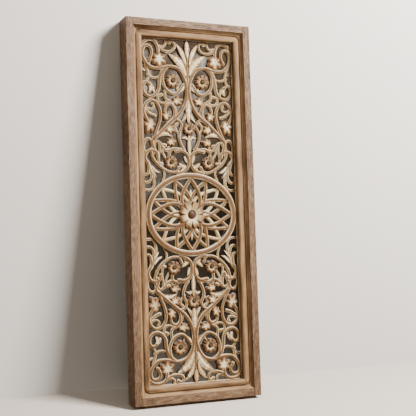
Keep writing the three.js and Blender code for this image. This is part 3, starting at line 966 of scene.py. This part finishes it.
def waxed_moulding(settings):
    """Smoother moulding wood, warm and rubbed, made darker in its hollows: most in the groove, also
    at the lip and on the back.
    """
    finish = Finish("rubbed_moulding_wood")
    grain = finish.attribute("grain", "Vector")
    hollow = finish.attribute("hollow")
    streaks = finish.noise(finish.stretched(grain, (8, 120, 60)), 1.0, 5, 0.6, 0.4)
    patches = finish.noise(finish.stretched(grain, (11, 40, 40)), 1.0, 4, 0.65)
    tone = finish.sums("ADD", finish.ranged(streaks, 0.3, 0.7, 0, 0.55),
                       finish.ranged(patches, 0.3, 0.7, 0, 0.45))
    colour = finish.ramp(tone, (
        (0.15, settings.moulding_dark), (0.48, settings.moulding_mid),
        (0.85, settings.moulding_pale)))
    # Darker by the section's hollow share, broken up by the patches.
    hollow_darkening = finish.sums("MULTIPLY", hollow, finish.ranged(patches, 0.25, 0.65, 1.0, 0.55))
    colour = finish.blend(hollow_darkening, colour, settings.hollow_darkening)
    roughness = finish.ranged(streaks, 0.3, 0.7, 0.72, 0.55)
    normal = finish.bump(streaks, 0.0003, 0.6)
    return finish.apply(colour, roughness, normal, 0.25)


def limed_carving(settings):
    """Carved wood under rubbed lime: cream faces, brightest where least worn, which on the stems'
    edges is also a painted highlight; brown where crests are worn through; tan painted shade in the
    cuts and hollows; and down the pierced flanks the wood's brown, deepened towards near black by
    painted shade."""
    finish = Finish("limed_carved_wood")
    place = finish.put("TexCoord").outputs["Object"]
    wear = finish.attribute("wear")
    fall = finish.attribute("fall")
    sunk = finish.attribute("sunk")
    fine = finish.noise(place, 260, 5, 0.65)
    broad = finish.noise(finish.stretched(place, (1, 1, 0.6)), 34, 4, 0.6)
    streaks = finish.noise(finish.stretched(place, (420, 300, 26)), 1.0, 4, 0.6)
    # The least worn places get the brightest lime; on the stems' unworn edges this is also a
    # painted highlight.
    cream = finish.ramp(finish.sums("MULTIPLY_ADD", wear, -0.7, broad), (
        (0.12, settings.lime_dull), (0.32, settings.lime), (0.52, settings.bright_lime_and_highlight)))
    cream = finish.blend(finish.ranged(streaks, 0.48, 0.66, 0, 0.5), cream,
                         settings.lime_dull)
    # Painted shade: tan where the front lies below the wood round it, in the cuts and hollows.
    sunk_shade = finish.sums("ADD", sunk, finish.ranged(fine, 0.3, 0.7, -0.18, 0.18))
    colour = finish.blend(finish.ranged(sunk_shade, 0.18, 0.8, 0, 0.8), cream, settings.hollow_shade_tan)
    # Painted shade: the pierced flanks darken towards near black the further they fall to the back;
    # the brown under it is the wood.
    shade_down_flanks = finish.sums("ADD", fall, finish.ranged(broad, 0.3, 0.7, -0.06, 0.06))
    colour = finish.blend(finish.ranged(shade_down_flanks, 0.08, 0.34, 0, 0.92), colour,
                          settings.button_and_flank_shade)
    rubbed = finish.sums("ADD", wear, finish.ranged(broad, 0.3, 0.7, -0.16, 0.12))
    rubbed = finish.sums("ADD", rubbed, finish.ranged(fine, 0.3, 0.7, -0.08, 0.08))
    brown = finish.blend(finish.ranged(streaks, 0.35, 0.65), settings.worn_deep,
                         settings.worn_brown)
    colour = finish.blend(finish.ranged(rubbed, 0.48, 0.66, 0, 0.92), colour, brown)
    # The flowers' buttons take the same dark brown as their own colour.
    colour = finish.blend(finish.ranged(wear, 1.25, 1.5, 0, 0.8), colour,
                          settings.button_and_flank_shade)
    roughness = finish.ranged(rubbed, 0.48, 0.66, 0.75, 0.5)
    normal = finish.bump(fine, 0.0004, 0.55)
    normal = finish.bump(streaks, 0.00025, 0.5, normal)
    return finish.apply(colour, roughness, normal, 0.25)


def one_sided(name, colour, mottle):
    """A matt plain surface, a little mottled, that is seen only from its front."""
    finish = Finish(name)
    place = finish.put("TexCoord").outputs["Object"]
    shade_of = finish.ranged(finish.noise(place, 3, 3, 0.6), 0.3, 0.7, 1 - mottle, 1 + mottle)
    mottled = finish.blend(1, colour, shade_of, "MULTIPLY")
    finish.join(mottled, finish.shader.inputs["Base Color"])
    finish.shader.inputs["Roughness"].default_value = 0.9
    return finish.let_through(finish.put("NewGeometry").outputs["Backfacing"])


# ---- the stage, in metres --------------------------------------------------------------

LEFT_X, RIGHT_X = PANEL_LOW[0] * MM, PANEL_HIGH[0] * MM
FLOOR_Z, TOP_Z = PANEL_LOW[2] * MM, PANEL_HIGH[2] * MM
ROOM_REACH, WALL_HEIGHT = 7.0, 4.0
# name: (x of the edge at the panel, slant in x for each metre behind it)
SIDE_CARDS = {"left_card": (LEFT_X + 0.004, 0.36), "right_card": (RIGHT_X - 0.002, 0.43)}
CARD_Y, BACK_CARD_Y = 0.002, 0.006

# name: (place, aim, size, watts, colour); no aim means the middle of the panel
LAMPS = {
    "window_light": ((1.65, -1.8, 1.22), None, (1.0, 1.0), 335, (1.0, 0.97, 0.93)),
    "ceiling_light": ((-0.6, -0.9, 2.3), (-0.6, -0.9, 0), (2.0, 1.4), 14, (1.0, 0.95, 0.88)),
    "fill_light": ((-2.4, -0.9, 0.2), None, (1.4, 1.4), 7, (1.0, 0.9, 0.78)),
    "back_light": ((0.5, 2.4, 0.3), None, (1.2, 1.2), 75, (1.0, 0.97, 0.93)),
}
ROOM_COLOUR, ROOM_STRENGTH = (1.0, 0.90, 0.78), 0.27


def plane(name, corners, material):
    mesh = bpy.data.meshes.new(name)
    mesh.from_pydata([tuple(corner) for corner in corners], [], [(0, 1, 2, 3)])
    piece = bpy.data.objects.new(name, mesh)
    piece.data.materials.append(material)
    bpy.context.scene.collection.objects.link(piece)
    return piece


def shade_cloth(name, view):
    """A dark cloth. With a view it lets light through: all of it above the shaded share of
    the height, least at the panel's middle and some more at its foot."""
    finish = Finish(name)
    finish.shader.inputs["Base Color"].default_value = (0.02, 0.02, 0.02, 1)
    if view is None:
        return finish.material
    place = finish.put("TexCoord").outputs["Object"]
    up = finish.put("SeparateXYZ", {"Vector": place}).outputs["Z"]
    up = finish.ranged(up, FLOOR_Z, TOP_Z)
    foot, least, clear = ([share] * 3 for share in (view.foot_light, view.middle_light, 1))
    return finish.let_through(finish.ramp(up, (
        (0.1, foot), (0.42, least), (view.shaded - 0.2, least), (view.shaded, clear))))


def area_light(name, place, target, size, watts, colour):
    light = bpy.data.lights.new(name, "AREA")
    light.shape = "RECTANGLE"
    light.size, light.size_y = size
    light.energy = watts
    light.color = colour[:3]
    lamp = bpy.data.objects.new(name, light)
    lamp.location = place
    lamp.rotation_euler = (Vector(target) - Vector(place)).to_track_quat("-Z", "Y").to_euler()
    bpy.context.scene.collection.objects.link(lamp)
    return lamp


def place_camera(view):
    """Turned about +Z by the heading, then up by the pitch, then about its own axis."""
    camera = bpy.data.objects.new("viewpoint", bpy.data.cameras.new("viewpoint"))
    bpy.context.scene.collection.objects.link(camera)
    camera.data.sensor_width = 36
    camera.data.lens = view.lens
    camera.location = view.place
    turn = (Matrix.Rotation(-view.heading, 4, "Z")
            @ Matrix.Rotation(math.pi / 2 + view.pitch, 4, "X")
            @ Matrix.Rotation(view.roll, 4, "Z"))
    camera.rotation_euler = turn.to_euler()
    bpy.context.scene.camera = camera


def set_world(colour, strength):
    world = bpy.data.worlds.new("soft_room")
    world.use_nodes = True
    background = world.node_tree.nodes["Background"]
    background.inputs["Color"].default_value = opaque(colour)
    background.inputs["Strength"].default_value = strength
    bpy.context.scene.world = world


def room_corner(view):
    """Where floor and wall meet, in y and z. The room is turned instead of the panel, about
    its lower back edge: for a lean a and a height h that is h * sin a * cos a behind the
    panel and h * sin^2 a above its foot."""
    lean, tall = math.sin(view.lean), math.cos(view.lean)
    rise = TOP_Z - FLOOR_Z
    return 0.001 + rise * lean * tall, FLOOR_Z + rise * lean * lean


def make_room(view):
    """A plain floor and wall, square to each other, that are left out of bounced light."""
    lean, tall = math.sin(view.lean), math.cos(view.lean)
    far, (foot_y, foot_z) = ROOM_REACH, room_corner(view)
    front_z = FLOOR_Z - far * lean / tall
    high_y, high_z = foot_y - WALL_HEIGHT * lean, foot_z + WALL_HEIGHT * tall
    floor = plane("floor", [(-far, -far, front_z), (far, -far, front_z),
                            (far, foot_y, foot_z), (-far, foot_y, foot_z)],
                  one_sided("plain_floor", view.floor, 0.02))
    wall = plane("backdrop", [(-far, foot_y, foot_z), (far, foot_y, foot_z),
                              (far, high_y, high_z), (-far, high_y, high_z)],
                 one_sided("plain_backdrop", view.wall, 0.015))
    wall.visible_diffuse = floor.visible_diffuse = False


def hang_shade_cards(view):
    """Cards behind the panel that the camera doesn't see, which deepen the shade in its
    openings: one down each side to the room's corner, and one over the back."""
    foot_y, foot_z = room_corner(view)
    card_top = TOP_Z - 0.02
    cards = []
    for name, (near_x, slant) in SIDE_CARDS.items():
        corners = [(near_x, CARD_Y, FLOOR_Z), (near_x + slant * foot_y, foot_y, foot_z),
                   (near_x, 2 * CARD_Y, card_top), (near_x, CARD_Y, card_top)]
        cards.append(plane(name, corners, shade_cloth(name, None)))
    corners = [(LEFT_X, BACK_CARD_Y, FLOOR_Z), (RIGHT_X, BACK_CARD_Y, FLOOR_Z),
               (RIGHT_X, BACK_CARD_Y, TOP_Z), (LEFT_X, BACK_CARD_Y, TOP_Z)]
    cards.append(plane("back_card", corners, shade_cloth("back_card", view)))
    for card in cards:
        card.visible_camera = False


def hang_lamps():
    """Four soft lamps; the fill and the one behind light only the panel."""
    middle = (0, -0.02, MIDDLE_Z * MM)
    lamps = {name: area_light(name, place, aim or middle, size, watts, colour)
             for name, (place, aim, size, watts, colour) in LAMPS.items()}
    for name in ("fill_light", "back_light"):
        lamps[name].light_linking.receiver_collection = panel_collection()
    lamps["back_light"].light_linking.blocker_collection = panel_collection()


# ---- what a user may change ------------------------------------------------------------

def colour_property(name, description, red, green, blue):
    return FloatVectorProperty(name=name, description=description, subtype="COLOR", size=3,
                               min=0, max=1, default=(red, green, blue))


class CarvedPanelSizes(bpy.types.PropertyGroup):
    grid_step: FloatProperty(
        name="Relief grid", description="Spacing of the grid that the carving is cut on",
        default=0.95 * MM, min=0.5 * MM, max=4 * MM, unit="LENGTH")
    board_edge: FloatProperty(
        name="Board edge", description="Largest radius of the boards' worn edges",
        default=1.1 * MM, min=0.5 * MM, max=6 * MM, unit="LENGTH")
    sharpest_crease: FloatProperty(
        name="Crease", description="Angle past which the carving shades as an edge",
        default=math.radians(48), subtype="ANGLE")


class CarvedPanelColours(bpy.types.PropertyGroup):
    board_dark: colour_property("Board pores", "Open pores of the boards", 0.045, 0.021, 0.009)
    board_mid: colour_property("Board", "Main tone of the boards", 0.12, 0.061, 0.027)
    board_pale: colour_property("Board lime", "Lime left in the boards", 0.25, 0.153, 0.083)
    moulding_dark: colour_property("Moulding grain", "Dark grain of the moulding",
                                   0.085, 0.038, 0.014)
    moulding_mid: colour_property("Moulding", "Main tone of the moulding", 0.225, 0.124, 0.053)
    moulding_pale: colour_property("Moulding rubbed", "Rubbed places of the moulding",
                                   0.38, 0.24, 0.122)
    # The dark colour the moulding is mixed towards in its groove, at the lip and on the back.
    hollow_darkening: colour_property("Old dirt", "Dirt in the moulding's hollows", 0.03, 0.013, 0.005)
    lime: colour_property("Lime", "Lime on the carving", 0.66, 0.51, 0.3)
    # Thickest lime, and a painted highlight along the stems' edges.
    bright_lime_and_highlight: colour_property("Bright lime", "Thickest lime", 0.88, 0.74, 0.5)
    lime_dull: colour_property("Dull lime", "Thin lime", 0.34, 0.22, 0.1)
    # Tan painted shade in the carving's cuts and hollows.
    hollow_shade_tan: colour_property("Cuts", "Wood in shallow cuts", 0.15, 0.078, 0.028)
    # Near-black brown: painted shade down the pierced flanks over the wood's brown, and the
    # flowers' dark buttons.
    button_and_flank_shade: colour_property("Flanks", "Wood on the pierced flanks", 0.03, 0.013, 0.004)
    worn_brown: colour_property("Worn crest", "Brown wood of rubbed crests", 0.155, 0.064, 0.02)
    worn_deep: colour_property("Worn grain", "Dark grain of rubbed crests", 0.08, 0.031, 0.009)


class CarvedPanelStage(bpy.types.PropertyGroup):
    place: FloatVectorProperty(
        name="Viewpoint", description="Place of the camera", subtype="TRANSLATION",
        unit="LENGTH", default=(-0.8468, -2.1127, -0.6276))
    heading: FloatProperty(
        name="Heading", description="Turn of the view from +Y towards +X",
        default=math.radians(23.26), subtype="ANGLE")
    pitch: FloatProperty(
        name="Pitch", description="Rise of the view over the horizon",
        default=math.radians(3.67), subtype="ANGLE")
    roll: FloatProperty(
        name="Roll", description="Turn of the view about its own axis",
        default=math.radians(-1.78), subtype="ANGLE")
    lens: FloatProperty(name="Lens", description="Focal length in millimetres",
                        default=74.18, min=20, max=200)
    wall: colour_property("Wall", "Plain backdrop", 0.84, 0.79, 0.73)
    floor: colour_property("Floor", "Plain floor", 0.64, 0.57, 0.50)
    shaded: FloatProperty(
        name="Shaded share", subtype="FACTOR", min=0, max=1, default=0.74,
        description="Share of the height with less light falling through the carving")
    middle_light: FloatProperty(
        name="Light at the middle", subtype="FACTOR", min=0, max=1, default=0.2,
        description="Share of the light that falls through behind the medallion")
    foot_light: FloatProperty(
        name="Light at the foot", subtype="FACTOR", min=0, max=1, default=0.62,
        description="Share of the light that falls through near the bottom")
    lean: FloatProperty(
        name="Lean", description="Angle at which the panel leans against the wall",
        subtype="ANGLE", min=0, max=math.radians(25), default=math.radians(8.5))


class CARVEDPANEL_OT_stage(bpy.types.Operator):
    """Makes the camera, the plain floor, the backdrop and the soft lights"""
    bl_idname = "carvedpanel.stage"
    bl_label = "Set the stage"

    def execute(self, context):
        view = context.scene.carved_panel_stage
        place_camera(view)
        make_room(view)
        hang_shade_cards(view)
        hang_lamps()
        set_world(ROOM_COLOUR, ROOM_STRENGTH)
        return {"FINISHED"}


class CARVEDPANEL_OT_frame_boards(bpy.types.Operator):
    """Makes the four deep boards of the frame"""
    bl_idname = "carvedpanel.frame_boards"
    bl_label = "Make the frame boards"

    def execute(self, context):
        scene = context.scene
        material = limed_oak(scene.carved_panel_colours)
        edge = scene.carved_panel_sizes.board_edge / MM
        boards = (("stile_left", 2), ("stile_right", 2), ("rail_top", 0), ("rail_bottom", 0))
        for number, (name, axis) in enumerate(boards):
            build_board(name, axis, 11 + number, material, edge)
        return {"FINISHED"}


class CARVEDPANEL_OT_moulding(bpy.types.Operator):
    """Makes the four mitred strips of the inner moulding"""
    bl_idname = "carvedpanel.moulding"
    bl_label = "Make the moulding"

    def execute(self, context):
        material = waxed_moulding(context.scene.carved_panel_colours)
        for turn, side in enumerate(("top", "right", "bottom", "left")):
            build_moulding("moulding_" + side, turn, material, 31 + turn)
        return {"FINISHED"}


class CARVEDPANEL_OT_carving(bpy.types.Operator):
    """Carves the pierced board"""
    bl_idname = "carvedpanel.carving"
    bl_label = "Carve the board"

    def execute(self, context):
        sizes = context.scene.carved_panel_sizes
        relief = carve(sizes.grid_step / MM)
        piece = new_object("carved_board", *carved_surface(relief))
        thin_out(piece, MOST_TRIANGLES)
        paint_relief(piece, relief)
        shade(piece, math.degrees(sizes.sharpest_crease))
        finish_piece(piece, limed_carving(context.scene.carved_panel_colours),
                     "carving_wood", "carving")
        return {"FINISHED"}


class CARVEDPANEL_PT_sidebar(bpy.types.Panel):
    """Lists the steps that make the panel"""
    bl_label = "Carved wall panel"
    bl_space_type = "VIEW_3D"
    bl_region_type = "UI"
    bl_category = "Carved Panel"

    def draw(self, context):
        for step in STEPS:
            self.layout.operator(step.bl_idname)
        for group in (context.scene.carved_panel_sizes, context.scene.carved_panel_colours,
                      context.scene.carved_panel_stage):
            for name in group.__annotations__:
                self.layout.prop(group, name)


STEPS = (CARVEDPANEL_OT_stage, CARVEDPANEL_OT_frame_boards, CARVEDPANEL_OT_moulding,
         CARVEDPANEL_OT_carving)
GROUPS = {"carved_panel_sizes": CarvedPanelSizes, "carved_panel_colours": CarvedPanelColours,
          "carved_panel_stage": CarvedPanelStage}


def register():
    for group in GROUPS.values():
        bpy.utils.register_class(group)
    for name, group in GROUPS.items():
        setattr(bpy.types.Scene, name, PointerProperty(type=group))
    for item in (*STEPS, CARVEDPANEL_PT_sidebar):
        bpy.utils.register_class(item)


def unregister():
    for item in (CARVEDPANEL_PT_sidebar, *reversed(STEPS)):
        bpy.utils.unregister_class(item)
    for name, group in reversed(GROUPS.items()):
        delattr(bpy.types.Scene, name)
        bpy.utils.unregister_class(group)


def main():
    register()
    bpy.ops.carvedpanel.stage()
    bpy.ops.carvedpanel.frame_boards()
    bpy.ops.carvedpanel.moulding()
    bpy.ops.carvedpanel.carving()


if __name__ == "__main__":
    main()
